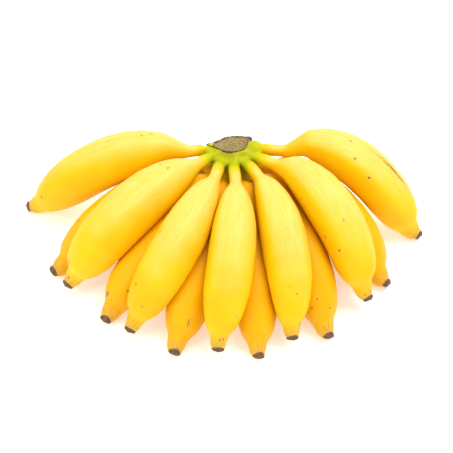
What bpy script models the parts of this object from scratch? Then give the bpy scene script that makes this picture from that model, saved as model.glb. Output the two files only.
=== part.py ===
"""A hand of short, plump bananas lying on a table: one crown and thirteen fruits.

The hand lies with its hollow side down. The crown is at the back, above the table, and
the fruits fan out forwards (-Y) in an upper and a lower row. The fruits whose ends reach
the table carry the hand. Every fruit is a loft of rings along its own bent centre line.
Where two fruits touch, each is pressed flat against the other, with GAP between them,
and where an end rests on the table it is pressed flat at z = 0.

Sizes are in millimetres and degrees, and to_metres turns them into Blender's units.
+X is right, +Y is back and +Z is up. The origin is under the middle of the whole hand.
"""

from math import cos, pi, radians, sin, sqrt
from typing import NamedTuple

import bmesh
import bpy
import numpy as np
from mathutils import Matrix, Vector

# Crown: an egg-shaped pad that the stalks grow from, cut off by one slanted plane.
CROWN_HEIGHT = 44.0
PAD_HALF_WIDTH = 15.5
PAD_HALF_DEPTH = 12.5
PAD_HALF_HEIGHT = 16.0
PAD_BACK = 4.0
PAD_DROP = 3.0
CUT_SLANT = 22.0
CUT_FRONT = -4.0
CUT_RISE = 8.8
STUB_LENGTH = 2.5
STUB_DEPTH = 9.0
STUB_RADIUS = 4.0
STUB_FLARE = 0.6
STUB_SPHERES = 6

# Fruits: what all of them share.
STALK_RADIUS = 3.8
ROOT_FLARE = 0.2
END_RADIUS = 4.4
END_CAP = 1.2
SHOULDER_SHARE = 0.50
TAPER_SHARE = 0.42
SWELL_FULLNESS = 2.4
SWELL_ONSET = 1.3
HUMP_RISE = 0.16
HUMP_FALL = 0.30
RIDGE_COUNT = 5
RIDGE_SHARE = 0.03

# What holds them apart and up.
GAP = 0.9
ROOT_GAP = 0.3
TABLE_PRESS = 1.9

# How finely a fruit is divided.
RING_SIDES = 15
STALK_RINGS = 3
BODY_RINGS = 14
PATH_STEPS = 120

MM = 0.001
HAND_NAME = "banana_hand"
SKIN_YELLOW = (0.95, 0.66, 0.03, 1.0)
SKIN_SHADED = (0.90, 0.56, 0.02, 1.0)
CROWN_GREEN = (0.52, 0.60, 0.05, 1.0)
SKIN_ROUGHNESS = 0.45
CROWN_ROUGHNESS = 0.55


class Row(NamedTuple):
    """One row of fruits: its name, how far its seats are above the crown's centre, its usual fruit and colour."""

    name: str
    rise: float
    length: float
    radius: float
    colour: tuple


class Fruit(NamedTuple):
    """One fruit.

    seat is its place round the crown and heading its first direction, both measured from
    straight forwards towards +X. sweep is how far the heading turns along the fruit, and
    lift the upward slope of its stalk. It bends down evenly, until its lowest point is
    clear millimetres above the table. length and radius are its whole length and its
    largest radius, stalk is its stalk's length, and hump is how far its belly stands off
    its stalk's line.
    """

    seat: float
    heading: float
    sweep: float
    lift: float
    clear: float
    length: float
    radius: float
    stalk: float
    hump: float


UPPER_ROW = Row("upper_finger", 2.0, 128.0, 15.0, SKIN_YELLOW)
LOWER_ROW = Row("lower_finger", -9.5, UPPER_ROW.length - 6.0, 15.2, SKIN_SHADED)
ON_TABLE = -TABLE_PRESS

# Seat, heading, sweep, lift, clear, how much longer and fuller than the row's usual fruit, stalk and hump.
UPPER_FRUITS = [
    (-90, -83, -2, 1, ON_TABLE, -1, 0.8, 9, 10),
    (-60, -40, -23, 20, 5, 2, 2.0, 12, 3),
    (-30, -8, -44, 23, 5, 7, -0.2, 20, 4),
    (0, 5, -22, 23, 6, 5, -0.8, 22, 5),
    (30, 26, -27, 20, 5, 0, -0.8, 18, 4),
    (60, 47, -19, 21, 6, -4, -0.4, 16, 7),
    (90, 88, -38, 5, ON_TABLE, -6, -0.9, 14, 14),
]

# Seat, heading, sweep and how much longer than the row's usual fruit. The rest is the same for the whole row.
LOWER_LIFT = 1
LOWER_STALK = 6
LOWER_HUMP = 3
LOWER_FRUITS = [
    (-75, -57, 0, 0),
    (-45, -32, -8, 0),
    (-15, -10, -12, 4),
    (15, 11, -13, 3),
    (45, 32, -19, 1),
    (75, 67, -42, -6),
]


def both_rows():
    """Each row with its fruits, each fruit under its own name."""
    upper = [
        Fruit(*aim, UPPER_ROW.length + longer, UPPER_ROW.radius + fuller, stalk, hump)
        for *aim, longer, fuller, stalk, hump in UPPER_FRUITS
    ]
    shared = (LOWER_ROW.radius, LOWER_STALK, LOWER_HUMP)
    lower = [
        Fruit(*aim, LOWER_LIFT, ON_TABLE, LOWER_ROW.length + longer, *shared)
        for *aim, longer in LOWER_FRUITS
    ]
    named = {}
    for row, fruits in ((UPPER_ROW, upper), (LOWER_ROW, lower)):
        for number, fruit in enumerate(fruits, start=1):
            named[f"{row.name}_{number}"] = (row, fruit)
    return named


def clear_scene():
    """Removes everything that the scene starts with."""
    for obj in list(bpy.data.objects):
        bpy.data.objects.remove(obj, do_unlink=True)


def smoothstep(low, high, value):
    """0 below low, 1 above high, and a smooth S between them."""
    share = np.clip((value - low) / (high - low), 0, 1)
    return share * share * (3 - 2 * share)


def swell(share):
    """How a fruit fills out from a stalk or an end: 0 at 0, a soft start, a round shoulder, 1 at 1."""
    share = np.clip(share, 0, 1)
    return (1 - (1 - share) ** SWELL_FULLNESS) ** SWELL_ONSET


def fruit_radius(fruit, distance):
    """The fruit's radius at each distance along its centre line."""
    body = (distance - fruit.stalk) / (fruit.length - fruit.stalk)
    flare = ROOT_FLARE * (1 - smoothstep(0, fruit.stalk, distance))
    shoulder = STALK_RADIUS + flare + (fruit.radius - STALK_RADIUS) * swell(body / SHOULDER_SHARE)
    taper = END_RADIUS + (fruit.radius - END_RADIUS) * swell((1 - body) / TAPER_SHARE)
    return np.minimum(shoulder, taper)


def pad_section(rise):
    """How much of the pad's width and depth is left at this height above the crown's centre."""
    return sqrt(1 - ((rise + PAD_DROP) / PAD_HALF_HEIGHT) ** 2)


def seat_of(row, fruit):
    """Where the fruit's stalk meets its stub on the crown."""
    section = pad_section(row.rise)
    across = PAD_HALF_WIDTH * section + STUB_LENGTH
    along = PAD_HALF_DEPTH * section + STUB_LENGTH
    angle = radians(fruit.seat)
    return np.array([across * sin(angle), PAD_BACK - along * cos(angle), CROWN_HEIGHT + row.rise])


def directions(fruit, droop, share):
    """The fruit's forward, sideways and upward unit vectors at each share of its length."""
    heading = np.radians(fruit.heading + fruit.sweep * share)
    slope = np.radians(fruit.lift + (droop - fruit.lift) * share)
    flat = np.zeros_like(heading)
    forward = np.stack([np.sin(heading) * np.cos(slope), -np.cos(heading) * np.cos(slope), np.sin(slope)], -1)
    side = np.stack([np.cos(heading), np.sin(heading), flat], -1)
    upward = np.stack([-np.sin(heading) * np.sin(slope), np.cos(heading) * np.sin(slope), np.cos(slope)], -1)
    return forward, side, upward


def centre_line(row, fruit, droop):
    """Distances along the fruit, its centres, radii, and sideways and upward directions there."""
    share = np.linspace(0, 1, PATH_STEPS + 1)
    distance = share * fruit.length
    forward, side, upward = directions(fruit, droop, share)
    steps = (forward[1:] + forward[:-1]) / 2 * fruit.length / PATH_STEPS
    centres = seat_of(row, fruit) + ROOT_GAP * forward[0] + np.vstack([np.zeros(3), np.cumsum(steps, axis=0)])
    body = (distance - fruit.stalk) / (fruit.length - fruit.stalk)
    hump = fruit.hump * smoothstep(0, HUMP_RISE, body) * (1 - smoothstep(HUMP_FALL, 1, body))
    return distance, centres + hump[:, None] * upward, fruit_radius(fruit, distance), side, upward


def lowest_point(row, fruit, droop):
    """The height of the fruit's underside where it is lowest."""
    _, centres, radii, _, upward = centre_line(row, fruit, droop)
    return (centres[:, 2] - radii * upward[:, 2]).min()


def resting_droop(row, fruit):
    """The slope at the fruit's end that brings its underside down to its clear height, found by halving."""
    steep, shallow = -110.0, fruit.lift
    for _ in range(40):
        middle = (steep + shallow) / 2
        if lowest_point(row, fruit, middle) < fruit.clear:
            steep = middle
        else:
            shallow = middle
    return shallow


def pressed(reach, centre, radius, outward, fruits, stubs):
    """Each reach from the centre along outward, shortened to stay off other fruits, stubs and the table.

    Two fruits meet halfway, in the plane where their two spheres have equal power.
    A stub doesn't give way, so a fruit stays in front of the plane that touches its sphere.
    """
    planes = []
    for (centres, radii), halfway in ((fruits, True), (stubs, False)):
        away = centres - centre
        far = np.sqrt((away**2).sum(axis=1))
        if halfway:
            allowed = (far**2 + radius**2 - radii**2) / 2 - far * GAP / 2
        else:
            allowed = far * (far - radii - GAP)
        facing = outward @ away.T
        planes.append(np.where(facing > 0, allowed / np.where(facing > 0, facing, 1), np.inf).min(axis=1))
    down = -outward[:, 2]
    planes.append(np.where(down > 0, centre[2] / np.where(down > 0, down, 1), np.inf))
    return np.minimum(reach, np.min(planes, axis=0))


def ring_distances(fruit):
    """Where the rings are: evenly along the stalk, then closer together at both ends of the body."""
    stalk = fruit.stalk * np.arange(STALK_RINGS) / STALK_RINGS
    body_length = fruit.length - END_CAP - fruit.stalk
    turn = np.linspace(0, pi, BODY_RINGS)
    return np.concatenate([stalk, fruit.stalk + body_length * (1 - np.cos(turn)) / 2])


def at_distance(place, distance, table):
    """The point or direction at one distance along the fruit, from a table of them."""
    return np.array([np.interp(place, distance, column) for column in table.T])


def fruit_rings(line, fruit, fruits, stubs):
    """The fruit's rings of points, from its root to its end, and the point that closes its end."""
    distance, centres, radii, side, upward = line
    angles = np.arange(RING_SIDES) * 2 * pi / RING_SIDES + pi / 2
    first_ridge = angles[-1]
    ridges = 1 + RIDGE_SHARE * np.cos(RIDGE_COUNT * (angles - first_ridge))
    rings = []
    for place in ring_distances(fruit):
        centre, right, top = (at_distance(place, distance, table) for table in (centres, side, upward))
        radius = np.interp(place, distance, radii)
        outward = np.outer(np.cos(angles), right) + np.outer(np.sin(angles), top)
        reach = pressed(radius * ridges, centre, radius, outward, fruits, stubs)
        rings.append(centre + reach[:, None] * outward)
    return rings, centres[-1]


def to_metres(point):
    """A point in millimetres as a Blender vector in metres."""
    return Vector([float(value) * MM for value in point])


def principled(name, colour, roughness):
    """A material of one colour, not metallic."""
    material = bpy.data.materials.new(name)
    material.use_nodes = True
    shader = material.node_tree.nodes["Principled BSDF"]
    shader.inputs["Base Color"].default_value = colour
    shader.inputs["Roughness"].default_value = roughness
    shader.inputs["Metallic"].default_value = 0.0
    return material


def add_object(name, bm, collection, material=None):
    """A new object made from the bmesh, smooth-shaded, in the collection."""
    bmesh.ops.recalc_face_normals(bm, faces=bm.faces)
    mesh = bpy.data.meshes.new(name)
    bm.to_mesh(mesh)
    bm.free()
    mesh.shade_smooth()
    mesh.set_sharp_from_angle(angle=radians(50))
    if material:
        mesh.materials.append(material)
    obj = bpy.data.objects.new(name, mesh)
    collection.objects.link(obj)
    return obj


def loft_fruit(name, rings, end, collection, material):
    """A closed skin over the rings, flat at the root and drawn to a point at the end."""
    bm = bmesh.new()
    loops = [[bm.verts.new(to_metres(point)) for point in ring] for ring in rings]
    for first, second in zip(loops, loops[1:]):
        for k in range(RING_SIDES):
            after = (k + 1) % RING_SIDES
            bm.faces.new([first[k], first[after], second[after], second[k]])
    bm.faces.new(loops[0])
    tip = bm.verts.new(to_metres(end))
    for k in range(RING_SIDES):
        bm.faces.new([loops[-1][k], loops[-1][(k + 1) % RING_SIDES], tip])
    return add_object(name, bm, collection, material)


def stub_spheres(row, fruit):
    """Spheres that fill the fruit's stub, as centres and radii."""
    forward = directions(fruit, fruit.lift, np.zeros(1))[0][0]
    back = np.linspace(0, STUB_DEPTH, STUB_SPHERES)
    return seat_of(row, fruit) - back[:, None] * forward, np.full(STUB_SPHERES, STUB_RADIUS)


def joined(groups):
    """Several groups of spheres as one."""
    return np.vstack([centres for centres, _ in groups]), np.concatenate([radii for _, radii in groups])


def make_fruits(named, hand):
    """Every fruit of both rows, each pressed against all the others."""
    lines = {name: centre_line(row, fruit, resting_droop(row, fruit)) for name, (row, fruit) in named.items()}
    for name, (row, fruit) in named.items():
        rest = [other for other in named if other != name]
        fruits = joined([(lines[other][1], lines[other][2]) for other in rest])
        stubs = joined([stub_spheres(*named[other]) for other in rest])
        rings, end = fruit_rings(lines[name], fruit, fruits, stubs)
        loft_fruit(name, rings, end, hand, principled(f"{name}_skin", row.colour, SKIN_ROUGHNESS))


def make_pad(hand):
    """The crown's pad, an egg cut off by the slanted plane."""
    bm = bmesh.new()
    bmesh.ops.create_uvsphere(bm, u_segments=24, v_segments=14, radius=1.0)
    bmesh.ops.scale(bm, vec=to_metres([PAD_HALF_WIDTH, PAD_HALF_DEPTH, PAD_HALF_HEIGHT]), verts=bm.verts)
    bmesh.ops.translate(bm, vec=to_metres([0, PAD_BACK, CROWN_HEIGHT - PAD_DROP]), verts=bm.verts)
    slant = radians(CUT_SLANT)
    cut = bmesh.ops.bisect_plane(
        bm,
        geom=bm.verts[:] + bm.edges[:] + bm.faces[:],
        plane_co=to_metres([0, CUT_FRONT, CROWN_HEIGHT + CUT_RISE]),
        plane_no=Vector((0, sin(slant), cos(slant))),
        clear_outer=True,
    )
    rim = [element for element in cut["geom_cut"] if isinstance(element, bmesh.types.BMEdge)]
    bmesh.ops.edgenet_fill(bm, edges=rim)
    return add_object("crown", bm, hand, principled("crown_skin", CROWN_GREEN, CROWN_ROUGHNESS))


def make_stub(name, row, fruit, cutters):
    """The short stump on the crown that the fruit's stalk sits on, flat at the stalk."""
    forward = Vector(directions(fruit, fruit.lift, np.zeros(1))[0][0])
    bm = bmesh.new()
    bmesh.ops.create_cone(
        bm,
        cap_ends=True,
        segments=RING_SIDES,
        radius1=(STUB_RADIUS + STUB_FLARE) * MM,
        radius2=STUB_RADIUS * MM,
        depth=STUB_DEPTH * MM,
    )
    middle = to_metres(seat_of(row, fruit)) - forward * STUB_DEPTH / 2 * MM
    turn = Matrix.Translation(middle) @ forward.to_track_quat("Z", "Y").to_matrix().to_4x4()
    bmesh.ops.transform(bm, matrix=turn, verts=bm.verts)
    stub = add_object(name, bm, cutters)
    stub.hide_render = True
    stub.display_type = "WIRE"
    return stub


def make_crown(named, hand, cutters):
    """The pad with a stub for each fruit joined on."""
    crown = make_pad(hand)
    for name, (row, fruit) in named.items():
        union = crown.modifiers.new(f"stub_{name}", "BOOLEAN")
        union.operation = "UNION"
        union.solver = "EXACT"
        union.object = make_stub(f"stub_{name}", row, fruit, cutters)


def centre_on_origin(hand, cutters):
    """Moves the hand and its cutters by their parent, so that the origin is under the middle of its box."""
    bpy.context.view_layer.update()
    graph = bpy.context.evaluated_depsgraph_get()
    corners = [Vector(corner) for obj in hand.objects for corner in obj.evaluated_get(graph).bound_box]
    middle = [(min(c[axis] for c in corners) + max(c[axis] for c in corners)) / 2 for axis in (0, 1)]
    base = bpy.data.objects.new("hand_origin", None)
    base.location = (-middle[0], -middle[1], 0)
    for obj in [*hand.objects, *cutters.objects]:
        obj.parent = base
    hand.objects.link(base)


def main():
    clear_scene()
    hand = bpy.data.collections.new(HAND_NAME)
    cutters = bpy.data.collections.new("cutters")
    bpy.context.scene.collection.children.link(hand)
    bpy.context.scene.collection.children.link(cutters)
    cutters.hide_render = True
    named = both_rows()
    make_fruits(named, hand)
    make_crown(named, hand, cutters)
    centre_on_origin(hand, cutters)


main()
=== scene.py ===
"""The looks of a hand of small bananas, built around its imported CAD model.

Each CAD fruit is read along its own bent centre line, and comes back as a fine, soft-ridged
skin with a neck and a dried end. The crown is one skin that has grown together with the
stalks, and its cut face, its curled edge and the dried ends are pieces of their own.

Everything is in metres, in the CAD model's frame: +X is right, +Y is back, +Z is up.
"""

import math

import bmesh
import bpy
import numpy as np
from mathutils import Matrix, Vector
from mathutils.bvhtree import BVHTree


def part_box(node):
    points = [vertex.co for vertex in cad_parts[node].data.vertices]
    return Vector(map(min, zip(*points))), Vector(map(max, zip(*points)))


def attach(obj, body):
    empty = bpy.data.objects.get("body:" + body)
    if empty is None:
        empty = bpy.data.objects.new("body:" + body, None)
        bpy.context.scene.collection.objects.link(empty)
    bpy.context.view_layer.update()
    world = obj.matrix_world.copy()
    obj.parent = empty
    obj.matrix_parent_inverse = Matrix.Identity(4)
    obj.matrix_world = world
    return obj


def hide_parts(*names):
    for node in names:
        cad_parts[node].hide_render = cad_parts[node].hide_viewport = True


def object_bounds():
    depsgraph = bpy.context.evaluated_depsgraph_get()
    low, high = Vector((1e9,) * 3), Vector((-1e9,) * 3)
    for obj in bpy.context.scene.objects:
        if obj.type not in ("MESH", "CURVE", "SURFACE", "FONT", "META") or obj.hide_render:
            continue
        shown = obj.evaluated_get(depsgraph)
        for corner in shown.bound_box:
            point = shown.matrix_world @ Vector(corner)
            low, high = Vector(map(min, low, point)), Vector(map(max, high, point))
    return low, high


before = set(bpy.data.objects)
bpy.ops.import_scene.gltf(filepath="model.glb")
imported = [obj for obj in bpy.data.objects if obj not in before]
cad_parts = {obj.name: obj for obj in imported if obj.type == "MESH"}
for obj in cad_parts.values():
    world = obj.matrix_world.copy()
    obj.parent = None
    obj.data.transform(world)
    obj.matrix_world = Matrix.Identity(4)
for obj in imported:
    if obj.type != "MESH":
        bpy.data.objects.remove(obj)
CAD_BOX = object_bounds()

MM = 0.001

# How finely a fruit is read from CAD and built.
SIDES = 72
STATIONS = 150
LINE_STATIONS = 40
LINE_DEGREE = 6
LINE_ROUNDS = 3
LINE_SIDES = 24
LINE_STEPS = 400
LINE_END_WEIGHT = 20
ROOT_CORNERS = 8
FIRST_READING = 0.3 * MM
LAST_READING = 0.2 * MM
FACET_TURN = math.radians(9)
FACET_LENGTH = 2.2 * MM

# A fruit's shape. Stretches of it are given as two shares of its length.
BODY_START = (0.06, 0.22)
BODY_END = (0.85, 0.97)
BODY_FULLNESS = 0.025
ROOT_FULLNESS = 0.60
ROOT_FULL_PLACE = 15 * MM
ROOT_FULL_WIDTH = 10 * MM
RIDGES = 5
RIDGE_HEIGHT = 0.22
RIDGE_ROUNDING = math.radians(7)
RIDGE_START = (0.08, 0.26)
RIDGE_END = (0.80, 0.97)
RIDGE_LOST_AT_END = 0.55
ROOT_INSET = 2.5 * MM
END_CAP = 1.2 * MM
NECK_BACK = 8.0 * MM
NECK_WIDTH = 4.6 * MM
NECK_DEPTH = 0.19
NECK_UNDERNEATH = 0.25
END_FLARE = 0.10
END_FLARE_LENGTH = 1.9 * MM
WRINKLE_LENGTH = 9 * MM
WRINKLE_DEPTH = 0.07 * MM
DENT_DEPTH = 0.10 * MM
GRAIN_STEP = 15 * MM

# The skin turns in over its rim: millimetres beyond the end, and share of the rim's reach.
TURNED_IN = [(0.25, 0.99), (0.55, 0.93), (0.75, 0.82), (0.70, 0.62), (0.45, 0.40), (0.35, 0.18)]

# The dried end's rings from its rim to its stump: millimetres beyond the end, share of the rim's
# reach, millimetres added to it, millimetres of roughness, and how dark it is.
DRIED_PROFILE = [
    (-0.10, 1.00, 0.12, 0.06, 0.80),
    (0.45, 1.00, 0.06, 0.10, 0.62),
    (1.00, 0.94, 0.00, 0.14, 0.72),
    (1.45, 0.82, 0.00, 0.16, 0.90),
    (1.75, 0.66, 0.00, 0.14, 0.80),
    (1.85, 0.48, 0.00, 0.10, 0.62),
    (2.00, 0.33, 0.00, 0.06, 0.70),
    (2.30, 0.24, 0.00, 0.05, 0.85),
    (2.45, 0.12, 0.00, 0.00, 0.95),
]

# How far a fruit's belly lies to the right of its line, in millimetres, seen from the stalk, and
# by what share it is fuller.
LYING_ASIDE = {
    "upper_finger_1": -2.4,
    "upper_finger_6": -2.0,
    "upper_finger_7": 2.4,
    "lower_finger_1": 1.2,
    "lower_finger_3": 1.2,
    "lower_finger_4": 0.7,
}
FULLER = {"upper_finger_1": 0.01, "upper_finger_6": 0.035, "upper_finger_7": 0.085}

# The direction of the painted highlight, the side that faces the light from above and to the right,
# and how squarely the skin faces it where the painted highlight starts and where it is full.
PAINTED_HIGHLIGHT_TOWARD = (0.22, 0.14, 0.96)
PAINTED_HIGHLIGHT_FROM = 0.32
PAINTED_HIGHLIGHT_FULLY = 0.95

# Marks on the skin, in millimetres: how far from the fruit's end, how far round from its top
# (to the left, seen from the stalk), how long and how wide.
MARKS = {
    "upper_finger_1": [(75, -3, 1.6, 1.2), (93, -2, 1.4, 1.1), (98, -3, 1.5, 1.2), (20, 7, 1.8, 1.2)],
    "upper_finger_2": [(94, 1, 1.5, 1.2), (93, -5, 1.2, 1.0), (15, -3, 5.0, 1.4), (5, 1, 2.2, 2.0)],
    "upper_finger_3": [(13, -5, 2.2, 1.4), (62, -9, 1.2, 1.0), (22, 4, 1.2, 1.0)],
    "upper_finger_4": [(32, -14, 1.2, 1.0), (6, 1, 4.5, 0.7), (7, 3, 3.5, 0.6)],
    "upper_finger_5": [(8, 5, 6.0, 0.9), (30, 2, 1.2, 1.0)],
    "upper_finger_6": [(38, -15, 2.0, 1.6), (52, -4, 1.2, 1.0)],
    "upper_finger_7": [(50, 3, 21.0, 2.0), (72, -9, 1.8, 1.4), (78, 1, 1.4, 1.1), (59, -14, 2.2, 1.6)],
    "lower_finger_2": [(15, -5, 4.0, 2.6), (13, 0, 1.2, 1.0)],
    "lower_finger_3": [(20, 6, 5.0, 1.0)],
    "lower_finger_5": [(24, -3, 1.3, 1.1), (17, 4, 1.4, 1.1)],
}

# The crown. Its skin is green within the first of the two distances from its middle, and yellow
# beyond the second.
GREEN_WITHIN = 11.0 * MM
YELLOW_BEYOND = 28 * MM
VOXEL = 0.55 * MM
SMOOTHINGS = 36

# A sleeve of crown skin over each stalk. It stands out by SLEEVE_OVER at the crown, and at its end
# it lies SLEEVE_UNDER below the stalk's skin.
SLEEVE_START = -6 * MM
SLEEVE_RINGS = 16
SLEEVE_LENGTH = 11 * MM
SLEEVE_OVER = 0.6 * MM
SLEEVE_UNDER = 0.7 * MM

# The crown's shoulder, as seen from the crown's middle.
SHOULDER_PLACE = Vector((13.5, 2.6, 3.8)) * MM
SHOULDER_RADIUS = 5.8 * MM

# Webs of skin between two stalks, each from one place to another as seen from the crown's middle.
WEBS = [
    (Vector((4, -4, -6)) * MM, Vector((10.5, -13, -7.5)) * MM),
    (Vector((-7, -2, -6)) * MM, Vector((-17, -6, -7.5)) * MM),
]
WEB_RADIUS = 3.3 * MM
WEB_STEPS = 8

# The crown's cut, in millimetres to the right and to the back of the cut plane's middle.
CUT_OUTLINE = [
    (11, 9),
    (9.5, -1),
    (6, -8.3),
    (0, -11),
    (-5.5, -10.2),
    (-10.5, -6),
    (-14.5, -1),
    (-8.5, 6),
    (-5.5, 9.5),
    (4.5, 11.5),
]
CUT_CORNER_TURN = 0.09
CUT_SIDES = 160
CUT_RINGS = 60
CUT_DEPTH = 2.6 * MM
CUT_WALL = (1.0, 0.86)
CUT_REACHES = (-4.5 * MM, -1.5 * MM)
FLAP_TURN = math.radians(184)
FLAP_WIDTH = 0.15
FLAP_LENGTH = 3.2 * MM
CORNER_TURN = math.radians(30)
CORNER_WIDTH = 0.45

# The camera stands this far from the point it looks at, this high above the table.
VIEW_DISTANCE = 1.0
VIEW_ELEVATION = math.radians(50)
LENS = 124.2
AIM_FROM_CROWN = Vector((-4.2, -34.5, -29.0)) * MM

# The studio.
FLOOR_HALF = 4.0
FLOOR_GREY = 0.92
FLOOR_GLOW = 0.34
SKY_STRENGTH = 0.74
KEY_PLACE = (0.80, 0.40, 1.85)
KEY_SIDE = 1.4
KEY_POWER = 29.0
KEY_COLOUR = (1, 0.99, 0.96)
FILL_PLACE = (-0.9, -0.35, 1.0)
FILL_SIDE = 0.9
FILL_POWER = 5.5
FILL_COLOUR = (1, 1, 1)

FRUITS = sorted(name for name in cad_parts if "finger" in name)
FIRST_SEED = 100
CUT_SEED = 71

# The crown's middle lies this far in front of its back, and this far above its underside.
CROWN_BACK = 16.5 * MM
CROWN_RISE = 19 * MM
CROWN_LOW, CROWN_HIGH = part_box("crown")
CROWN_ACROSS = (CROWN_LOW.x + CROWN_HIGH.x) / 2
CROWN_MIDDLE = Vector((CROWN_ACROSS, CROWN_HIGH.y - CROWN_BACK, CROWN_LOW.z + CROWN_RISE))


# Small tools.


def unit(vectors):
    """The vectors at length 1."""
    return vectors / np.linalg.norm(vectors, axis=-1, keepdims=True)


def smoothstep(low, high, value):
    """0 below low, 1 above high, and a smooth S between them."""
    share = np.clip((value - low) / (high - low), 0, 1)
    return share * share * (3 - 2 * share)


def ripple(rng, around, along, strands, rounds, waves):
    """A smooth random relief over a tube, mostly between -1 and 1.

    It is the sum of strands, which turn at most rounds times about the tube, and along it by at
    most waves radians a metre.
    """
    total = np.zeros(np.broadcast(around, along).shape)
    for _ in range(strands):
        turn = rng.integers(0, rounds + 1)
        pace = rng.uniform(-waves, waves)
        phase = rng.uniform(0, 2 * math.pi)
        total += np.cos(turn * around + pace * along + phase)
    return total / math.sqrt(strands)


def placed(name, mesh, replaced=None):
    """A mesh as a smooth-shaded piece that rides on the hand."""
    mesh.shade_smooth()
    obj = bpy.data.objects.new(name, mesh)
    bpy.context.scene.collection.objects.link(obj)
    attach(obj, "root")
    if replaced:
        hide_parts(replaced)
    return obj


def new_piece(name, points, faces, replaced=None):
    """A piece made of points and faces, with all its faces looking outwards."""
    mesh = bpy.data.meshes.new(name)
    mesh.from_pydata([tuple(point) for point in points], [], faces)
    bm = bmesh.new()
    bm.from_mesh(mesh)
    bmesh.ops.recalc_face_normals(bm, faces=bm.faces)
    bm.to_mesh(mesh)
    bm.free()
    return placed(name, mesh, replaced)


def set_attribute(obj, name, values):
    """Stores a number or a vector for each vertex, for the materials to read."""
    values = np.asarray(values, np.float32)
    kind, field = ("FLOAT", "value") if values.ndim == 1 else ("FLOAT_VECTOR", "vector")
    attribute = obj.data.attributes.new(name, kind, "POINT")
    attribute.data.foreach_set(field, values.ravel())


def loft_faces(rings, sides):
    """Quads between rings of points that follow each other."""
    faces = []
    for ring in range(rings - 1):
        low = ring * sides
        for k in range(sides):
            after = (k + 1) % sides
            faces.append((low + k, low + after, low + sides + after, low + sides + k))
    return faces


def first_fan(sides, apex):
    """Triangles that close the first ring of a loft with one point."""
    return [((k + 1) % sides, k, apex) for k in range(sides)]


def last_fan(rings, sides, apex):
    """Triangles that close the last ring of a loft with one point."""
    start = (rings - 1) * sides
    return [(start + k, start + (k + 1) % sides, apex) for k in range(sides)]


# Reading a fruit from CAD.


def cad_mesh(node):
    """A CAD node as a tree to cast rays at, its points and its edges."""
    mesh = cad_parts[node].data
    points = np.array([vertex.co for vertex in mesh.vertices])
    faces = [tuple(polygon.vertices) for polygon in mesh.polygons]
    edges = np.array([edge.vertices for edge in mesh.edges])
    return BVHTree.FromPolygons(points.tolist(), faces), points, edges


def slice_centre(points, edges, height, heights):
    """The middle of where a plane cuts the mesh."""
    first, second = heights[edges[:, 0]], heights[edges[:, 1]]
    crossing = (first - height) * (second - height) < 0
    share = ((height - first) / np.where(crossing, second - first, 1))[crossing]
    ends = points[edges[crossing]]
    cuts = ends[:, 0] + share[:, None] * (ends[:, 1] - ends[:, 0])
    return cuts.mean(axis=0)


def smooth_line(centres):
    """A smooth line through the centres, as points at equal distances, and its length."""
    steps = np.linalg.norm(np.diff(centres, axis=0), axis=1)
    share = np.concatenate([[0], np.cumsum(steps)]) / steps.sum()
    weight = np.ones(len(share))
    weight[[0, -1]] = LINE_END_WEIGHT
    fits = [np.polyfit(share, column, LINE_DEGREE, w=weight) for column in centres.T]
    fine = np.linspace(0, 1, LINE_STEPS)
    curve = np.stack([np.polyval(fit, fine) for fit in fits], axis=-1)
    far = np.concatenate([[0], np.cumsum(np.linalg.norm(np.diff(curve, axis=0), axis=1))])
    even = np.linspace(0, far[-1], LINE_STATIONS)
    return np.stack([np.interp(even, far, column) for column in curve.T], axis=-1), far[-1]


def carried(first, tangents):
    """A direction square to each tangent, carried along without twisting."""
    found = [first]
    for tangent in tangents[1:]:
        kept = found[-1] - np.dot(found[-1], tangent) * tangent
        found.append(kept / np.linalg.norm(kept))
    return np.array(found)


def upward_along(tangents):
    """The upward direction at each point of a line, carried from its middle without twisting."""
    middle = len(tangents) // 2
    start = np.array([0, 0, 1.0]) - tangents[middle][2] * tangents[middle]
    start /= np.linalg.norm(start)
    after = carried(start, tangents[middle:])
    before = carried(start, tangents[middle::-1])
    return np.concatenate([before[:0:-1], after])


def frames_of(line):
    """Tangent, sideways and upward directions at each point of the line."""
    tangents = unit(np.gradient(line, axis=0))
    upward = upward_along(tangents)
    return tangents, np.cross(tangents, upward), upward


def section(tree, centre, across, upward, sides):
    """How far the surface is from the centre, all round."""
    angles = np.arange(sides) * 2 * math.pi / sides
    reach = np.full(sides, np.nan)
    for k, angle in enumerate(angles):
        direction = Vector(across * math.cos(angle) + upward * math.sin(angle))
        hit = tree.ray_cast(Vector(centre), direction)
        if hit[0] is not None:
            reach[k] = hit[3]
    return reach


def section_middle(reach, centre, across, upward):
    """The middle of the area that a section encloses."""
    angles = np.arange(len(reach)) * 2 * math.pi / len(reach)
    area = np.nansum(reach**2)
    aside = 2 / 3 * np.nansum(reach**3 * np.cos(angles)) / area
    above = 2 / 3 * np.nansum(reach**3 * np.sin(angles)) / area
    return centre + aside * across + above * upward


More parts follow.
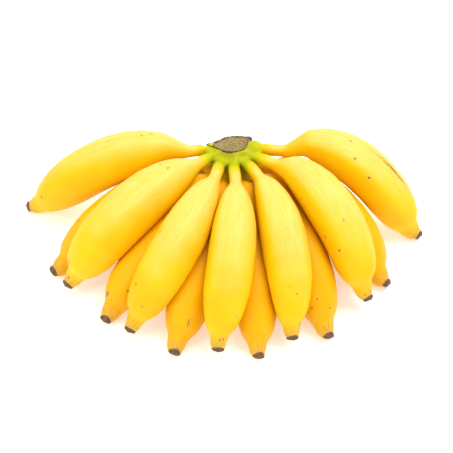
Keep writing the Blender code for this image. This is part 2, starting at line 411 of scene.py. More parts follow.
class Fruit:
    """A CAD fruit read along its centre line.

    line holds points at equal distances, from the root to the end. reach is how far the surface
    is from the line, all round, at each distance in inner, with the CAD facets smoothed away.
    """

    def __init__(self, name):
        self.name = name
        self.tree, points, edges = cad_mesh(name)
        crown = np.array(CROWN_MIDDLE)
        nearest = np.linalg.norm(points - crown, axis=1).argsort()[:ROOT_CORNERS]
        root = points[nearest].mean(axis=0)
        tip = points[np.linalg.norm(points - root, axis=1).argmax()]
        chord = tip - root
        heights = points @ chord / (chord @ chord)
        levels = np.linspace(root @ chord, tip @ chord, LINE_STATIONS + 2) / (chord @ chord)
        centres = [slice_centre(points, edges, level, heights) for level in levels[1:-1]]
        line, length = smooth_line(np.array([root, *centres, tip]))
        for _ in range(LINE_ROUNDS):
            line, length = self.centred(line, root, tip)
        self.line, self.length = line, length
        self.distance = np.linspace(0, length, len(line))
        self.frames = frames_of(line)
        self.read()

    def centred(self, line, root, tip):
        """The line moved to the middle of the sections square to it."""
        _, across, upward = frames_of(line)
        middles = []
        for k in range(1, len(line) - 1):
            reach = section(self.tree, line[k], across[k], upward[k], LINE_SIDES)
            middles.append(section_middle(reach, line[k], across[k], upward[k]))
        return smooth_line(np.array([root, *middles, tip]))

    def read(self):
        """Reads the surface at close stations and smooths the facets away."""
        self.inner = np.linspace(FIRST_READING, self.length - END_CAP - LAST_READING, STATIONS)
        reach = []
        for distance in self.inner:
            centre, _, side, top = self.at(distance)
            reach.append(section(self.tree, centre, side, top, SIDES))
        reach = np.array(reach)
        reach[np.isnan(reach)] = np.nanmedian(reach)
        spectrum = np.fft.rfft(reach, axis=1)
        body = spectrum[STATIONS // 4 : STATIONS * 3 // 4, RIDGES].sum()
        self.ridge_phase = np.angle(body)
        order = np.arange(spectrum.shape[1])
        spectrum *= np.exp(-((order * FACET_TURN) ** 2) / 2)
        reach = np.fft.irfft(spectrum, SIDES, axis=1)
        self.reach = smoothed_along(reach, FACET_LENGTH / (self.inner[1] - self.inner[0]))

    def at(self, distance):
        """The line's point, tangent, sideways and upward directions at one distance."""
        values = []
        for table in (self.line, *self.frames):
            values.append(np.array([np.interp(distance, self.distance, column) for column in table.T]))
        if distance < 0:
            values[0] = values[0] + distance * values[1]
        return [values[0], *(unit(value) for value in values[1:])]

    def reach_at(self, distances):
        """The smoothed reach at these distances."""
        return np.stack([np.interp(distances, self.inner, column) for column in self.reach.T], axis=-1)


def smoothed_along(reach, spread):
    """The reach blurred along the fruit over spread stations."""
    half = int(math.ceil(spread * 3))
    weights = np.exp(-0.5 * (np.arange(-half, half + 1) / spread) ** 2)
    weights /= weights.sum()
    before = 2 * reach[:1] - reach[half:0:-1]
    after = 2 * reach[-1:] - reach[-2 : -half - 2 : -1]
    padded = np.concatenate([before, reach, after])
    return np.stack([np.convolve(column, weights, mode="valid") for column in padded.T], axis=-1)


# Building a fruit.


def fullness(fruit, distances):
    """How much fuller than CAD the fruit is.

    CAD's facets lie inside the round, and a lower fruit's root is broad.
    """
    share = np.clip(distances / fruit.length, 0, 1)
    body = BODY_FULLNESS + FULLER.get(fruit.name, 0.0)
    full = 1 + body * smoothstep(*BODY_START, share) * (1 - smoothstep(*BODY_END, share))
    if fruit.name.startswith("lower"):
        full += ROOT_FULLNESS * np.exp(-(((distances - ROOT_FULL_PLACE) / ROOT_FULL_WIDTH) ** 2))
    return full


def ridged(fruit, rng, distances, angles, reach):
    """The reach with soft ridges and flat sides between them, which fade at the stalk and the end."""
    ridges = -fruit.ridge_phase / RIDGES + np.arange(RIDGES) * 2 * math.pi / RIDGES
    ridges = np.sort((ridges + rng.uniform(-0.10, 0.10, RIDGES)) % (2 * math.pi))
    strength = rng.uniform(0.75, 1.25)
    share = distances / fruit.length
    fade = smoothstep(*RIDGE_START, share) * (1 - RIDGE_LOST_AT_END * smoothstep(*RIDGE_END, share))
    relief = flat_sides(ridges)
    fine = np.arange(len(relief)) * 2 * math.pi / len(relief)
    relief = np.interp(angles, fine, relief, period=2 * math.pi)
    return reach * (1 + RIDGE_HEIGHT * strength * fade[:, None] * relief)


def flat_sides(ridges):
    """How far flat sides between the ridges stand off their mean circle, degree by degree."""
    corners = np.concatenate([ridges, ridges[:1] + 2 * math.pi])
    degrees = np.radians(np.arange(360))
    turned = np.where(degrees < ridges[0], degrees + 2 * math.pi, degrees)
    side = np.searchsorted(corners, turned, side="right") - 1
    side = np.clip(side, 0, len(ridges) - 1)
    middle = (corners[side] + corners[side + 1]) / 2
    half = (corners[side + 1] - corners[side]) / 2
    relief = np.cos(half) / np.cos(turned - middle)
    spectrum = np.fft.rfft(relief - relief.mean())
    spectrum *= np.exp(-((np.arange(len(spectrum)) * RIDGE_ROUNDING) ** 2) / 2)
    return np.fft.irfft(spectrum, len(degrees))


def necked(fruit, rng, distances, angles, reach):
    """The reach drawn in to a neck before the end, less on the underside, and flared at the end."""
    back = fruit.length - END_CAP - distances
    place = NECK_BACK * rng.uniform(0.85, 1.15)
    depth = NECK_DEPTH * rng.uniform(0.7, 1.15)
    neck = depth * np.exp(-(((back - place) / NECK_WIDTH) ** 2))
    flare = END_FLARE * np.exp(-((back / END_FLARE_LENGTH) ** 2))
    around = NECK_UNDERNEATH + (1 - NECK_UNDERNEATH) * smoothstep(-1.0, -0.3, np.sin(angles))
    return reach * (1 + flare[:, None] - neck[:, None] * around)


def wrinkled(fruit, rng, distances, angles, reach):
    """The reach with broad dents all over, and fine lengthwise wrinkles near both ends."""
    around, along = np.meshgrid(angles, distances)
    dents = ripple(rng, around, along, strands=14, rounds=3, waves=120) * DENT_DEPTH
    back = fruit.length - distances
    near_end = np.exp(-((back / WRINKLE_LENGTH) ** 2))
    near_root = np.exp(-((distances / (2 * WRINKLE_LENGTH)) ** 2))
    lines = ripple(rng, around, along, strands=16, rounds=16, waves=60) * WRINKLE_DEPTH
    return reach + dents + lines * (near_end + 0.6 * near_root)[:, None]


def ripeness_at(points):
    """0 where the skin is still green, at the crown, to 1 where it is yellow."""
    away = points - np.array(CROWN_MIDDLE)
    away[:, 2] *= np.where(away[:, 2] < 0, 2.6, 0.8)
    return smoothstep(GREEN_WITHIN, YELLOW_BEYOND, np.linalg.norm(away, axis=-1))


def painted_highlight(obj, most):
    """How much painted highlight the skin gets at each vertex: most where it faces the light."""
    facing = np.array([normal.vector for normal in obj.data.vertex_normals]) @ np.array(PAINTED_HIGHLIGHT_TOWARD)
    return most * smoothstep(PAINTED_HIGHLIGHT_FROM, PAINTED_HIGHLIGHT_FULLY, facing)


def shaped_rings(fruit, rng, angles):
    """The distances and reaches of all the skin's rings, and the reach at its rim."""
    last = fruit.length - END_CAP
    distances = np.concatenate([[-ROOT_INSET, -ROOT_INSET / 2], np.linspace(0, last, STATIONS)])
    reach = fruit.reach_at(distances) * fullness(fruit, distances)[:, None]
    for shaped in (ridged, necked, wrinkled):
        reach = shaped(fruit, rng, distances, angles, reach)
    brim = reach[-1]
    distances = np.concatenate([distances, [last + rise * MM for rise, _ in TURNED_IN]])
    reach = np.vstack([reach, *[brim * share for _, share in TURNED_IN]])
    return distances, reach, brim


def build_fruit(fruit, seed):
    """The fruit's skin and its dried end."""
    rng = np.random.default_rng(seed)
    angles = np.arange(SIDES) * 2 * math.pi / SIDES
    distances, reach, brim = shaped_rings(fruit, rng, angles)
    flat = ring_points(fruit, distances, angles, reach).reshape(-1, 3)
    flat[:, 2] = np.maximum(flat[:, 2], 0)
    last = fruit.length - END_CAP
    root = fruit.at(-ROOT_INSET)[0]
    tip = fruit.at(last)[0] + TURNED_IN[-1][0] * MM * fruit.at(last)[1]
    vertices = np.vstack([flat, root, tip])
    faces = loft_faces(len(distances), SIDES)
    faces += first_fan(SIDES, len(flat))
    faces += last_fan(len(distances), SIDES, len(flat) + 1)
    obj = new_piece(f"{fruit.name}_skin", vertices, faces, fruit.name)
    set_skin_attributes(obj, fruit, vertices, distances, angles, reach)
    build_dried_end(fruit, rng, brim, angles)
    return obj


def set_skin_attributes(obj, fruit, vertices, distances, angles, reach):
    """What the skin's material reads: the rings' values, then those of the root and the tip."""
    last = fruit.length - END_CAP
    around, along = np.meshgrid(angles, distances)
    grain = np.stack([np.cos(around), np.sin(around), along / GRAIN_STEP], axis=-1).reshape(-1, 3)
    set_attribute(obj, "grain", np.vstack([grain, [0, 0, 0], [0, 0, last / GRAIN_STEP]]))
    set_attribute(obj, "ripeness", ripeness_at(vertices))
    back = np.concatenate([(fruit.length - along).ravel(), [fruit.length, 0]])
    set_attribute(obj, "from_end", back / MM)
    # Painted highlight on the upper row only, as the lower row lies in the upper row's shade.
    set_attribute(obj, "painted_highlight", painted_highlight(obj, 0.0 if fruit.name.startswith("lower") else 1.0))
    off = (around - math.pi / 2 + math.pi) % (2 * math.pi) - math.pi
    set_attribute(obj, "around", np.concatenate([(off * reach).ravel(), [0, 0]]) / MM)


def ring_points(fruit, distances, angles, reach):
    """The points of rings round the fruit's line."""
    points = np.empty((len(distances), len(angles), 3))
    most_aside = LYING_ASIDE.get(fruit.name, 0.0) * MM
    end, forward, _, _ = fruit.at(fruit.length - END_CAP)
    for k, distance in enumerate(distances):
        centre, _, across, upward = fruit.at(distance)
        if distance > fruit.length - END_CAP:
            centre = end + (distance - fruit.length + END_CAP) * forward
        aside = most_aside * math.sin(math.pi * min(max(distance / fruit.length, 0), 1))
        outward = np.outer(np.cos(angles), across) + np.outer(np.sin(angles), upward)
        points[k] = centre + aside * across + reach[k][:, None] * outward
    return points


def build_dried_end(fruit, rng, brim, angles):
    """The dried remains of the flower: a ragged brown cap over the rim, with a small stump."""
    sides = len(angles)
    still = np.zeros(sides)
    edge = -0.40 - 0.36 * ripple(rng, angles, still, strands=12, rounds=12, waves=1)
    profile = [(edge + 0.10, brim - 0.45 * MM, 1.0), (edge, brim + 0.02 * MM, 1.0)]
    for rise, share, outside, rough, dark in DRIED_PROFILE:
        crumbs = rough * ripple(rng, angles, still, strands=10, rounds=18, waves=1)
        profile.append((np.full(sides, rise), brim * share + (outside + crumbs) * MM, dark))
    end, forward, across, upward = fruit.at(fruit.length - END_CAP)
    outward = np.outer(np.cos(angles), across) + np.outer(np.sin(angles), upward)
    flat = []
    for rise, reach, _ in profile:
        flat.append(end + rise[:, None] * MM * forward + reach[:, None] * outward)
    flat = np.vstack(flat)
    flat[:, 2] = np.maximum(flat[:, 2], 0)
    bottom, top = end - 0.3 * MM * forward, end + 2.5 * MM * forward
    vertices = np.vstack([flat, bottom, top])
    faces = loft_faces(len(profile), sides)
    faces += first_fan(sides, len(flat))
    faces += last_fan(len(profile), sides, len(flat) + 1)
    obj = new_piece(f"{fruit.name}_blossom_end", vertices, faces)
    crust = np.repeat([dark for _, _, dark in profile], sides)
    set_attribute(obj, "crust", np.concatenate([crust, [1, 1]]))
    obj.data.materials.append(MATERIALS["dried"])


# Building the crown.


def cut_plane():
    """The plane of the crown's cut: the flat faces that look up and hold the most area."""
    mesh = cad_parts["crown"].data
    found = {}
    for face in mesh.polygons:
        if face.normal.z > 0.5:
            key = tuple(round(value, 2) for value in face.normal)
            found.setdefault(key, []).append(face)
    faces = max(found.values(), key=lambda group: sum(face.area for face in group))
    total = sum(face.area for face in faces)
    middle = sum((face.center * face.area for face in faces), Vector()) / total
    return middle, faces[0].normal.copy()


def sleeve(fruit):
    """A tube over the start of a stalk, which sinks into it further out, with half the sides."""
    angles = np.arange(SIDES // 2) * 4 * math.pi / SIDES
    distances = np.linspace(SLEEVE_START, SLEEVE_LENGTH, SLEEVE_RINGS)
    over = SLEEVE_OVER - (SLEEVE_OVER + SLEEVE_UNDER) * smoothstep(1 * MM, SLEEVE_LENGTH, distances)
    reach = fruit.reach_at(distances)[:, ::2] + over[:, None]
    return ring_points(fruit, distances, angles, reach).reshape(-1, 3), len(distances), len(angles)


def add_ball(bm, place, radius, subdivisions):
    """Adds a ball at a place seen from the crown's middle."""
    place = Matrix.Translation(CROWN_MIDDLE + place)
    bmesh.ops.create_icosphere(bm, subdivisions=subdivisions, radius=radius, matrix=place)


def crown_blank(fruits):
    """The CAD crown with a sleeve over each stalk, a shoulder and webs, as shells in one mesh."""
    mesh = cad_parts["crown"].data
    bm = bmesh.new()
    bm.from_mesh(mesh)
    bmesh.ops.remove_doubles(bm, verts=bm.verts, dist=1e-6)
    for fruit in fruits:
        points, rings, sides = sleeve(fruit)
        made = [bm.verts.new(point) for point in points]
        for face in loft_faces(rings, sides):
            bm.faces.new([made[k] for k in face])
        bm.faces.new(made[:sides][::-1])
        bm.faces.new(made[-sides:])
    add_ball(bm, SHOULDER_PLACE, SHOULDER_RADIUS, 3)
    for start, end in WEBS:
        for share in np.linspace(0, 1, WEB_STEPS):
            add_ball(bm, start.lerp(end, share), WEB_RADIUS, 2)
    bmesh.ops.recalc_face_normals(bm, faces=bm.faces)
    blank = bpy.data.meshes.new("crown_blank")
    bm.to_mesh(blank)
    bm.free()
    return bpy.data.objects.new("crown_blank", blank)


def grown_together(blank):
    """The blank's shells merged by a voxel remesh and smoothed, as a mesh of its own."""
    bpy.context.scene.collection.objects.link(blank)
    remesh = blank.modifiers.new("merge", "REMESH")
    remesh.mode = "VOXEL"
    remesh.voxel_size = VOXEL
    soften = blank.modifiers.new("soften", "SMOOTH")
    soften.factor = 0.5
    soften.iterations = SMOOTHINGS
    graph = bpy.context.evaluated_depsgraph_get()
    mesh = bpy.data.meshes.new_from_object(blank.evaluated_get(graph))
    bpy.data.objects.remove(blank)
    return mesh


def cut_axes(normal):
    """The directions to the right and to the back in the plane of the cut."""
    right = Vector((1, 0, 0))
    return np.array(right), np.array(normal.cross(right).normalized())


def outline_reach(angles):
    """How far the edge of the cut is from its middle at each angle, from right to back."""
    corners = np.array(CUT_OUTLINE) * MM
    turned = np.arctan2(corners[:, 1], corners[:, 0])
    order = turned.argsort()
    fine = np.linspace(-math.pi, math.pi, 361)
    straight = np.interp(fine, turned[order], np.hypot(*corners.T)[order], period=2 * math.pi)
    spectrum = np.fft.rfft(straight[:-1])
    spectrum *= np.exp(-((np.arange(len(spectrum)) * CUT_CORNER_TURN) ** 2) / 2)
    soft = np.fft.irfft(spectrum, 360)
    return np.interp(angles, fine[:-1], soft, period=2 * math.pi)


def sink_cut(mesh, middle, normal):
    """Hollows the crown's skin inside the cut's edge, where the cut face then lies."""
    right, back = cut_axes(normal)
    points = np.array([vertex.co for vertex in mesh.vertices])
    offsets = points - np.array(middle)
    aside, behind, height = offsets @ right, offsets @ back, offsets @ np.array(normal)
    share = np.hypot(aside, behind) / outline_reach(np.arctan2(behind, aside))
    depth = CUT_DEPTH * smoothstep(*CUT_WALL, share) * smoothstep(*CUT_REACHES, height)
    points -= depth[:, None] * np.array(normal)
    mesh.vertices.foreach_set("co", points.astype(np.float32).ravel())
    mesh.update()
    return points


def build_crown(fruits):
    """The crown's skin, its cut face and the curled edge round it."""
    middle, normal = cut_plane()
    mesh = grown_together(crown_blank(fruits))
    mesh.name = "crown_skin"
    points = sink_cut(mesh, middle, normal)
    obj = placed("crown_skin", mesh, "crown")
    away = points - np.array(CROWN_MIDDLE)
    turn = np.arctan2(away[:, 0], -away[:, 1])
    grain = np.stack([np.cos(turn), np.sin(turn), away[:, 2] / GRAIN_STEP], axis=-1)
    set_attribute(obj, "grain", grain)
    set_attribute(obj, "ripeness", ripeness_at(points))
    set_attribute(obj, "from_end", np.full(len(points), 100.0))
    set_attribute(obj, "painted_highlight", np.zeros(len(points)))
    obj.data.materials.append(MATERIALS["crown"])
    build_cut_face(middle, normal)


def fibre_arcs(angles, share):
    """The height of the cut's broken, bent arcs of fibres, -1 to 1, at a share of its reach."""
    bends = 1.6 * np.sin(2 * angles) + 1.1 * np.sin(3 * angles + 1)
    bends += 1.4 * np.sin(5 * angles - 7 * share) + 0.9 * np.sin(9 * angles + 11 * share)
    broken = 0.55 + 0.45 * np.sin(4 * angles + 6 * share + 2)
    return np.sin(share * 27 + bends) * broken


def build_cut_face(middle, normal):
    """The dry, fibrous cut, and the curled dark edge of skin round it."""
    right, back = cut_axes(normal)
    angles = np.arange(CUT_SIDES) * 2 * math.pi / CUT_SIDES
    far = outline_reach(angles)
    rng = np.random.default_rng(CUT_SEED)
    rings, fibres = [], []
    for share in np.linspace(1, 0.04, CUT_RINGS):
        arcs = fibre_arcs(angles, share)
        rough = ripple(rng, angles, np.full(CUT_SIDES, share * 9), strands=14, rounds=24, waves=6)
        dish = -0.5 * (1 - share**2)
        from_rim = min(1.0, (1 - share) * 12)
        height = (dish + 0.24 * arcs + 0.12 * rough) * MM * from_rim - 0.25 * MM
        rings.append(face_points(middle, right, back, normal, angles, far * share, height))
        fibres.append(0.5 + 0.5 * arcs)
    flat = np.vstack(rings)
    centre = np.array(middle - normal * 0.75 * MM)
    under = np.array(middle - normal * 2.4 * MM)
    vertices = np.vstack([flat, centre, under])
    faces = loft_faces(CUT_RINGS, CUT_SIDES)
    faces += last_fan(CUT_RINGS, CUT_SIDES, len(flat))
    faces += first_fan(CUT_SIDES, len(flat) + 1)
    obj = new_piece("crown_cut_face", vertices, faces)
    set_attribute(obj, "fibres", np.concatenate([*fibres, [0.5, 0.5]]))
    obj.data.materials.append(MATERIALS["cut"])
    build_curled_edge(middle, right, back, normal, angles, far, rng)


def face_points(middle, right, back, normal, angles, reach, height):
    """Points on the cut, at a reach and a height for each angle."""
    aside = np.outer(np.cos(angles) * reach, right)
    behind = np.outer(np.sin(angles) * reach, back)
    return np.array(middle) + aside + behind + np.outer(height, np.array(normal))


def bump_at(angles, middle, width):
    """1 at one angle, and nearly 0 further from it than twice the width."""
    off = (angles - middle + math.pi) % (2 * math.pi) - math.pi
    return np.exp(-((off / width) ** 2))


def build_curled_edge(middle, right, back, normal, angles, far, rng):
    """The edge of skin that dried and curled over the cut, with a flap and a broader corner."""
    flap = bump_at(angles, FLAP_TURN, FLAP_WIDTH)
    corner = bump_at(angles, CORNER_TURN, CORNER_WIDTH)
    still = np.zeros(len(angles))
    wave = ripple(rng, angles, still, strands=12, rounds=12, waves=1)
    fine = ripple(rng, angles, still, strands=12, rounds=34, waves=1)
    width = (0.70 + 0.18 * wave + 0.5 * corner) * MM
    out = (0.20 + 0.12 * fine + 0.3 * corner) * MM + FLAP_LENGTH * flap
    rise = (0.30 + 0.14 * wave + 0.10 * fine + 0.3 * flap + 0.7 * corner) * MM
    low = np.full(len(angles), MM)
    profile = [
        (far - 0.6 * MM, -2.6 * low),
        (far + 0.10 * MM, -1.7 * low),
        (far + out * 0.55, -0.85 * low + rise * 0.2),
        (far + out, rise * 0.7 - 0.1 * low),
        (far + out * 0.9 - 0.12 * MM, rise + 0.12 * low),
        (far + out * 0.8 - width * 0.55, rise * 0.85),
        (far + out * 0.5 - width, rise * 0.2 - 0.1 * low),
        (far - width * 1.2, -0.6 * low),
        (far - width * 1.4, -2.0 * low),
    ]
    rings = []
    for reach, height in profile:
        rings.append(face_points(middle, right, back, normal, angles, reach, height))
    vertices = np.vstack(rings)
    faces = loft_faces(len(rings), CUT_SIDES)
    top = (len(rings) - 1) * CUT_SIDES
    for k in range(CUT_SIDES):
        after = (k + 1) % CUT_SIDES
        faces.append((top + k, top + after, after, k))
    obj = new_piece("crown_curled_edge", vertices, faces)
    obj.data.materials.append(MATERIALS["curl"])


# Materials.


class Nodes:
    """A material's nodes, added one after another."""

    def __init__(self, name):
        self.material = bpy.data.materials.new(name)
        self.material.use_nodes = True
        self.tree = self.material.node_tree
        self.shader = self.tree.nodes["Principled BSDF"]
        self.coordinates = self.tree.nodes.new("ShaderNodeTexCoord").outputs["Object"]

    def new(self, kind, inputs, **settings):
        """A node with its settings and its inputs, each a number, a colour or another node's output."""
        node = self.tree.nodes.new(kind)
        for key, value in settings.items():
            setattr(node, key, value)
        for key, value in inputs.items():
            if isinstance(value, bpy.types.NodeSocket):
                self.tree.links.new(value, node.inputs[key])
            else:
                node.inputs[key].default_value = value
        return node

    def attribute(self, name, vector=False):
        """A number or a vector stored on the mesh."""
        node = self.new("ShaderNodeAttribute", {}, attribute_name=name)
        return node.outputs["Vector" if vector else "Fac"]

    def scaled(self, vector, factors):
        """The vector times the factors, each by each."""
        return self.new("ShaderNodeVectorMath", {0: vector, 1: factors}, operation="MULTIPLY").outputs[0]

    def noise(self, vector, scale, detail=3.0, roughness=0.5):
        """Soft noise, 0 to 1."""
        inputs = {"Vector": vector, "Scale": scale, "Detail": detail, "Roughness": roughness}
        return self.new("ShaderNodeTexNoise", inputs).outputs["Fac"]

    def cells(self, vector, scale):
        """How far the nearest cell's middle is, and a random colour for each cell."""
        node = self.new("ShaderNodeTexVoronoi", {"Vector": vector, "Scale": scale})
        return node.outputs["Distance"], node.outputs["Color"]

    def ranged(self, value, low, high, start=0.0, end=1.0):
        """From start to end in a smooth S as the value goes from low to high."""
        inputs = {"Value": value, "From Min": low, "From Max": high, "To Min": start, "To Max": end}
        return self.new("ShaderNodeMapRange", inputs, interpolation_type="SMOOTHSTEP").outputs[0]

    def math(self, operation, first, second):
        """One sum, product or other operation."""
        return self.new("ShaderNodeMath", {0: first, 1: second}, operation=operation).outputs[0]

    def mix(self, factor, first, second):
        """The first colour at factor 0, the second at 1."""
        return self.new("ShaderNodeMix", {0: factor, 6: first, 7: second}, data_type="RGBA").outputs[2]

    def finish(self, colour, roughness, height, strength, distance):
        """Connects the colour, the roughness and the bump to the shader."""
        bump = self.new("ShaderNodeBump", {"Height": height, "Strength": strength, "Distance": distance})
        self.tree.links.new(colour, self.shader.inputs["Base Color"])
        self.tree.links.new(roughness, self.shader.inputs["Roughness"])
        self.tree.links.new(bump.outputs[0], self.shader.inputs["Normal"])
        return self.material


# The skin's colours.
YELLOW = (0.94, 0.60, 0.003, 1)
# The colour of the painted highlight.
PAINTED_HIGHLIGHT_YELLOW = (0.97, 0.68, 0.19, 1)
YELLOW_DEEP = (0.92, 0.53, 0.002, 1)
# The orange of the painted shade on the lower row.
PAINTED_SHADE_ORANGE = (0.86, 0.36, 0.001, 1)
LIME = (0.64, 0.57, 0.004, 1)
GREEN = (0.46, 0.48, 0.003, 1)
TAN = (0.70, 0.40, 0.07, 1)
BROWN = (0.14, 0.062, 0.018, 1)
OLIVE = (0.42, 0.32, 0.02, 1)
PINK = (0.80, 0.42, 0.16, 1)

# The colours of the cut, the dried ends and the curled edge.
CUT_DARK = (0.19, 0.135, 0.045, 1)
CUT_LIGHT = (0.40, 0.30, 0.105, 1)
CUT_OLIVE = (0.25, 0.22, 0.065, 1)
CUT_RED = (0.22, 0.075, 0.040, 1)
DRIED_DARK = (0.20, 0.105, 0.05, 1)
DRIED_LIGHT = (0.46, 0.27, 0.14, 1)
CRUST_DARK = (0.050, 0.026, 0.015, 1)
CRUST_LIGHT = (0.24, 0.125, 0.06, 1)
CURL_DARK = (0.050, 0.028, 0.014, 1)
CURL_LIGHT = (0.30, 0.21, 0.10, 1)

# How much painted shade, in orange, the lower fruits' skin gets, and the number that the crown's pattern
# comes from.
LOWER_PAINTED_SHADE = 0.52
CROWN_SKIN_SEED = 40

# Kinds of specks: cells a metre, share of the cells that hold one, its inner and outer radius in
# cells, its strength and its colour.
SPECKS = [
    (60.0, 0.25, 0.05, 0.30, 0.07, OLIVE),
    (210.0, 0.20, 0.07, 0.15, 0.40, OLIVE),
    (75.0, 0.22, 0.04, 0.09, 0.60, BROWN),
]


def specks(nodes, vector, scale, share, low, high):
    """Small spots in a share of the cells: 1 inside a spot, 0 outside."""
    distance, colour = nodes.cells(vector, scale)
    draw = nodes.new("ShaderNodeSeparateColor", {"Color": colour}).outputs[0]
    chosen = nodes.math("LESS_THAN", draw, share)
    spot = nodes.ranged(distance, low, high, 1.0, 0.0)
    return nodes.math("MULTIPLY", spot, chosen)


def added(nodes, first, second):
    """The sum of two vectors."""
    return nodes.new("ShaderNodeVectorMath", {0: first, 1: second}, operation="ADD").outputs[0]


def mark(nodes, base, wander, place):
    """One dark mark on the skin with a paler, pinkish halo."""
    from_end, around, length, width = place
    squares = []
    for name, middle, size in (("from_end", from_end, length), ("around", around, width)):
        off = nodes.math("SUBTRACT", nodes.attribute(name), middle)
        squares.append(nodes.math("POWER", nodes.math("DIVIDE", off, size / 2), 2.0))
    reach = nodes.math("ADD", nodes.math("SQRT", nodes.math("ADD", *squares), 0.0), wander)
    base = nodes.mix(nodes.ranged(reach, 0.9, 2.4, 0.40, 0.0), base, PINK)
    return nodes.mix(nodes.ranged(reach, 0.55, 1.20, 0.70, 0.0), base, BROWN)


def ripe_colour(nodes, depth, broad, streak, ripeness, from_end):
    """Yellow in broad patches and fine lengthwise streaks, with a painted highlight where it faces the
    light, and orange as painted shade by the given share.
    """
    base = nodes.mix(nodes.ranged(broad, 0.35, 0.70), YELLOW, YELLOW_DEEP)
    # Painted highlight: paler yellow where the skin faces the light, less in the streaks, near the end
    # and towards the crown.
    highlight_share = nodes.attribute("painted_highlight")
    for share in (
        nodes.ranged(streak, 0.25, 0.65, 1.0, 0.55),
        nodes.ranged(from_end, 12.0, 70.0, 0.45, 1.0),
        nodes.ranged(ripeness, 0.75, 1.0, 0.2, 1.0),
    ):
        highlight_share = nodes.math("MULTIPLY", highlight_share, share)
    base = nodes.mix(highlight_share, base, PAINTED_HIGHLIGHT_YELLOW)
    # Painted shade: the lower row, under the upper one, is turned orange.
    base = nodes.mix(depth, base, PAINTED_SHADE_ORANGE)
    return nodes.mix(nodes.ranged(streak, 0.45, 0.75, 0.0, 0.25), base, YELLOW_DEEP)


def greened(nodes, base, place, ripeness):
    """The colour turned lime and then green towards the crown."""
    wander = nodes.ranged(nodes.noise(place, 120.0, 3.0), 0.0, 1.0, -0.15, 0.15)
    edge = nodes.math("ADD", ripeness, wander)
    base = nodes.mix(nodes.ranged(edge, 0.30, 0.95, 1.0, 0.0), base, LIME)
    return nodes.mix(nodes.ranged(edge, 0.02, 0.55, 1.0, 0.0), base, GREEN)


def dried_towards_end(nodes, base, grain, from_end):
    """The colour turned tan towards the end, with short dark dashes along the last stretch."""
    tan_reach = nodes.ranged(nodes.noise(grain, 3.0, 3.0), 0.25, 0.75, 3.0, 9.0)
    tan_share = nodes.math("DIVIDE", from_end, tan_reach)
    base = nodes.mix(nodes.ranged(tan_share, 0.20, 1.6, 0.70, 0.0), base, TAN)
    dashes = nodes.noise(nodes.scaled(grain, (2.2, 2.2, 2.0)), 1.5, 2.0, 0.4)
    near_end = nodes.ranged(from_end, 3.0, 13.0, 0.85, 0.0)
    dash = nodes.math("MULTIPLY", nodes.ranged(dashes, 0.60, 0.68), near_end)
    return nodes.mix(dash, base, BROWN)


def skin_material(name, seed, depth, marks=()):
    """Ripe skin, green at the stalk's root, with specks, this fruit's own marks and a grain."""
    nodes = Nodes(name)
    shader = nodes.shader
    shader.inputs["Subsurface Weight"].default_value = 0.22
    shader.inputs["Subsurface Radius"].default_value = (1.0, 0.6, 0.1)
    shader.inputs["Subsurface Scale"].default_value = 3 * MM
    shader.inputs["IOR"].default_value = 1.43
    shader.inputs["Specular IOR Level"].default_value = 0.2
    place = added(nodes, nodes.coordinates, (seed * 1.7, seed * 0.9, seed * 2.3))
    grain = nodes.scaled(nodes.attribute("grain", vector=True), (9.0, 9.0, 0.8))
    grain = added(nodes, grain, (seed * 3.1, seed * 1.3, seed * 0.7))
    ripeness = nodes.attribute("ripeness")
    from_end = nodes.attribute("from_end")
    broad = nodes.noise(place, 38.0, 2.0)
    streak = nodes.noise(grain, 1.6, 4.0, 0.6)
    base = ripe_colour(nodes, depth, broad, streak, ripeness, from_end)
    base = greened(nodes, base, place, ripeness)
    base = dried_towards_end(nodes, base, grain, from_end)
    for scale, share, low, high, strength, colour in SPECKS:
        spots = specks(nodes, place, scale, share, low, high)
        base = nodes.mix(nodes.math("MULTIPLY", spots, strength), base, colour)
    frayed = nodes.ranged(nodes.noise(place, 900.0, 3.0), 0.25, 0.75, -0.55, 0.55)
    for one in marks:
        base = mark(nodes, base, frayed, one)
    pores = nodes.noise(place, 1500.0, 2.0)
    roughness = nodes.ranged(broad, 0.2, 0.8, 0.40, 0.52)
    height = nodes.math("ADD", nodes.math("MULTIPLY", pores, 0.25), streak)
    return nodes.finish(base, roughness, height, 0.22, 0.25 * MM)


def crown_material():
    """Green skin of the crown, like the skin at the stalks' roots."""
    return skin_material("crown_green_skin", CROWN_SKIN_SEED, 0.0)


def cut_material():
    """The dry cut: fibrous, olive and grey-brown, with reddish streaks to the right."""
    nodes = Nodes("dry_cut")
    place = nodes.scaled(nodes.coordinates, (1.0, 2.6, 2.6))
    fibres = nodes.noise(place, 420.0, 6.0, 0.7)
    patches = nodes.noise(nodes.coordinates, 160.0, 3.0)
    arcs = nodes.math("ADD", nodes.attribute("fibres"), nodes.ranged(fibres, 0.3, 0.7, -0.4, 0.4))
    base = nodes.mix(nodes.ranged(arcs, 0.1, 0.8), CUT_DARK, CUT_LIGHT)
    base = nodes.mix(nodes.ranged(patches, 0.45, 0.65, 0.0, 0.6), base, CUT_OLIVE)
    side = nodes.new("ShaderNodeSeparateXYZ", {"Vector": nodes.coordinates}).outputs["X"]
    streaks = nodes.ranged(fibres, 0.42, 0.60, 0.0, 0.8)
    reddish = nodes.math("MULTIPLY", nodes.ranged(side, 0.009, 0.017), streaks)
    base = nodes.mix(reddish, base, CUT_RED)
    return nodes.finish(base, nodes.ranged(fibres, 0.2, 0.8, 0.75, 0.95), fibres, 0.6, 0.4 * MM)


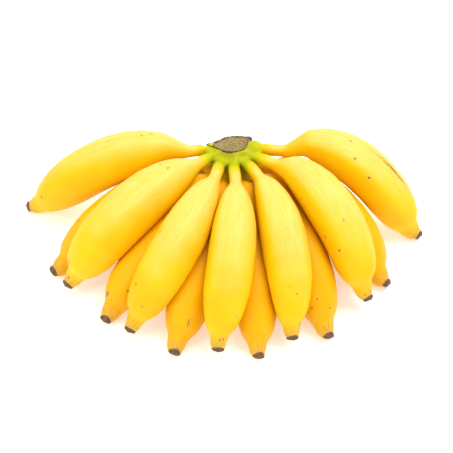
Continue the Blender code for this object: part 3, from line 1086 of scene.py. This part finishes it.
def dried_material():
    """The dried flower: a dull, crumbly surface, tan-brown with a dark crust."""
    nodes = Nodes("dried_end")
    crumbs = nodes.noise(nodes.coordinates, 900.0, 5.0, 0.65)
    edge = nodes.math("ADD", nodes.attribute("crust"), nodes.ranged(crumbs, 0.25, 0.75, -0.45, 0.45))
    inner = nodes.mix(nodes.ranged(crumbs, 0.38, 0.62), DRIED_DARK, DRIED_LIGHT)
    crust = nodes.mix(nodes.ranged(crumbs, 0.40, 0.62), CRUST_DARK, CRUST_LIGHT)
    base = nodes.mix(nodes.ranged(edge, 0.25, 0.75), inner, crust)
    return nodes.finish(base, nodes.ranged(crumbs, 0.2, 0.8, 0.62, 0.88), crumbs, 0.5, 0.3 * MM)


def curl_material():
    """The curled edge: thin dark skin, paler where it has split."""
    nodes = Nodes("curled_edge")
    splits = nodes.noise(nodes.coordinates, 700.0, 5.0, 0.65)
    base = nodes.mix(nodes.ranged(splits, 0.40, 0.68), CURL_DARK, CURL_LIGHT)
    return nodes.finish(base, nodes.ranged(splits, 0.2, 0.8, 0.62, 0.88), splits, 0.5, 0.3 * MM)


# The studio.


def add_floor():
    """A plain pale floor, far larger than the view."""
    bm = bmesh.new()
    bmesh.ops.create_grid(bm, x_segments=8, y_segments=8, size=FLOOR_HALF)
    mesh = bpy.data.meshes.new("floor")
    bm.to_mesh(mesh)
    bm.free()
    floor = bpy.data.objects.new("floor", mesh)
    bpy.context.scene.collection.objects.link(floor)
    material = bpy.data.materials.new("floor_white")
    material.use_nodes = True
    shader = material.node_tree.nodes["Principled BSDF"]
    shader.inputs["Base Color"].default_value = (FLOOR_GREY, FLOOR_GREY, FLOOR_GREY, 1)
    shader.inputs["Roughness"].default_value = 0.9
    shader.inputs["Specular IOR Level"].default_value = 0.1
    shader.inputs["Emission Color"].default_value = (1, 1, 1, 1)
    shader.inputs["Emission Strength"].default_value = FLOOR_GLOW
    floor.data.materials.append(material)


def add_area(name, place, target, side, power, colour):
    """A soft square light that faces the target."""
    light = bpy.data.lights.new(name, "AREA")
    light.shape = "SQUARE"
    light.size = side
    light.energy = power
    light.color = colour
    obj = bpy.data.objects.new(name, light)
    obj.location = place
    obj.rotation_euler = (Vector(target) - Vector(place)).to_track_quat("-Z", "Y").to_euler()
    bpy.context.scene.collection.objects.link(obj)


def add_light():
    """Soft white light from all round, a large key light high on the right and a weak one left."""
    world = bpy.data.worlds.new("studio")
    bpy.context.scene.world = world
    world.use_nodes = True
    background = world.node_tree.nodes["Background"]
    background.inputs["Color"].default_value = (1, 1, 1, 1)
    background.inputs["Strength"].default_value = SKY_STRENGTH
    centre = (CAD_BOX[0] + CAD_BOX[1]) / 2
    add_area("key", KEY_PLACE, centre, KEY_SIDE, KEY_POWER, KEY_COLOUR)
    add_area("fill", FILL_PLACE, centre, FILL_SIDE, FILL_POWER, FILL_COLOUR)
    bpy.context.scene.view_settings.view_transform = "Standard"


def add_camera():
    """The viewpoint: straight ahead of the hand, looking down on it."""
    aim = CROWN_MIDDLE + AIM_FROM_CROWN
    back = Vector((0, -math.cos(VIEW_ELEVATION), math.sin(VIEW_ELEVATION)))
    data = bpy.data.cameras.new("camera")
    data.lens = LENS
    data.sensor_width = 36
    data.clip_start = 0.05
    camera = bpy.data.objects.new("camera", data)
    camera.location = aim + back * VIEW_DISTANCE
    camera.rotation_euler = (-back).to_track_quat("-Z", "Y").to_euler()
    bpy.context.scene.collection.objects.link(camera)
    bpy.context.scene.camera = camera


MATERIALS = {
    "crown": crown_material(),
    "cut": cut_material(),
    "curl": curl_material(),
    "dried": dried_material(),
}

fruits = [Fruit(name) for name in FRUITS]
for number, fruit in enumerate(fruits):
    skin = build_fruit(fruit, FIRST_SEED + number)
    # Painted shade: the lower row is painted orange, as if it lay in the upper row's shade.
    depth = LOWER_PAINTED_SHADE if fruit.name.startswith("lower") else 0.0
    marks = MARKS.get(fruit.name, ())
    skin.data.materials.append(skin_material(f"{fruit.name}_skin", number, depth, marks))
build_crown(fruits)
add_floor()
add_light()
add_camera()
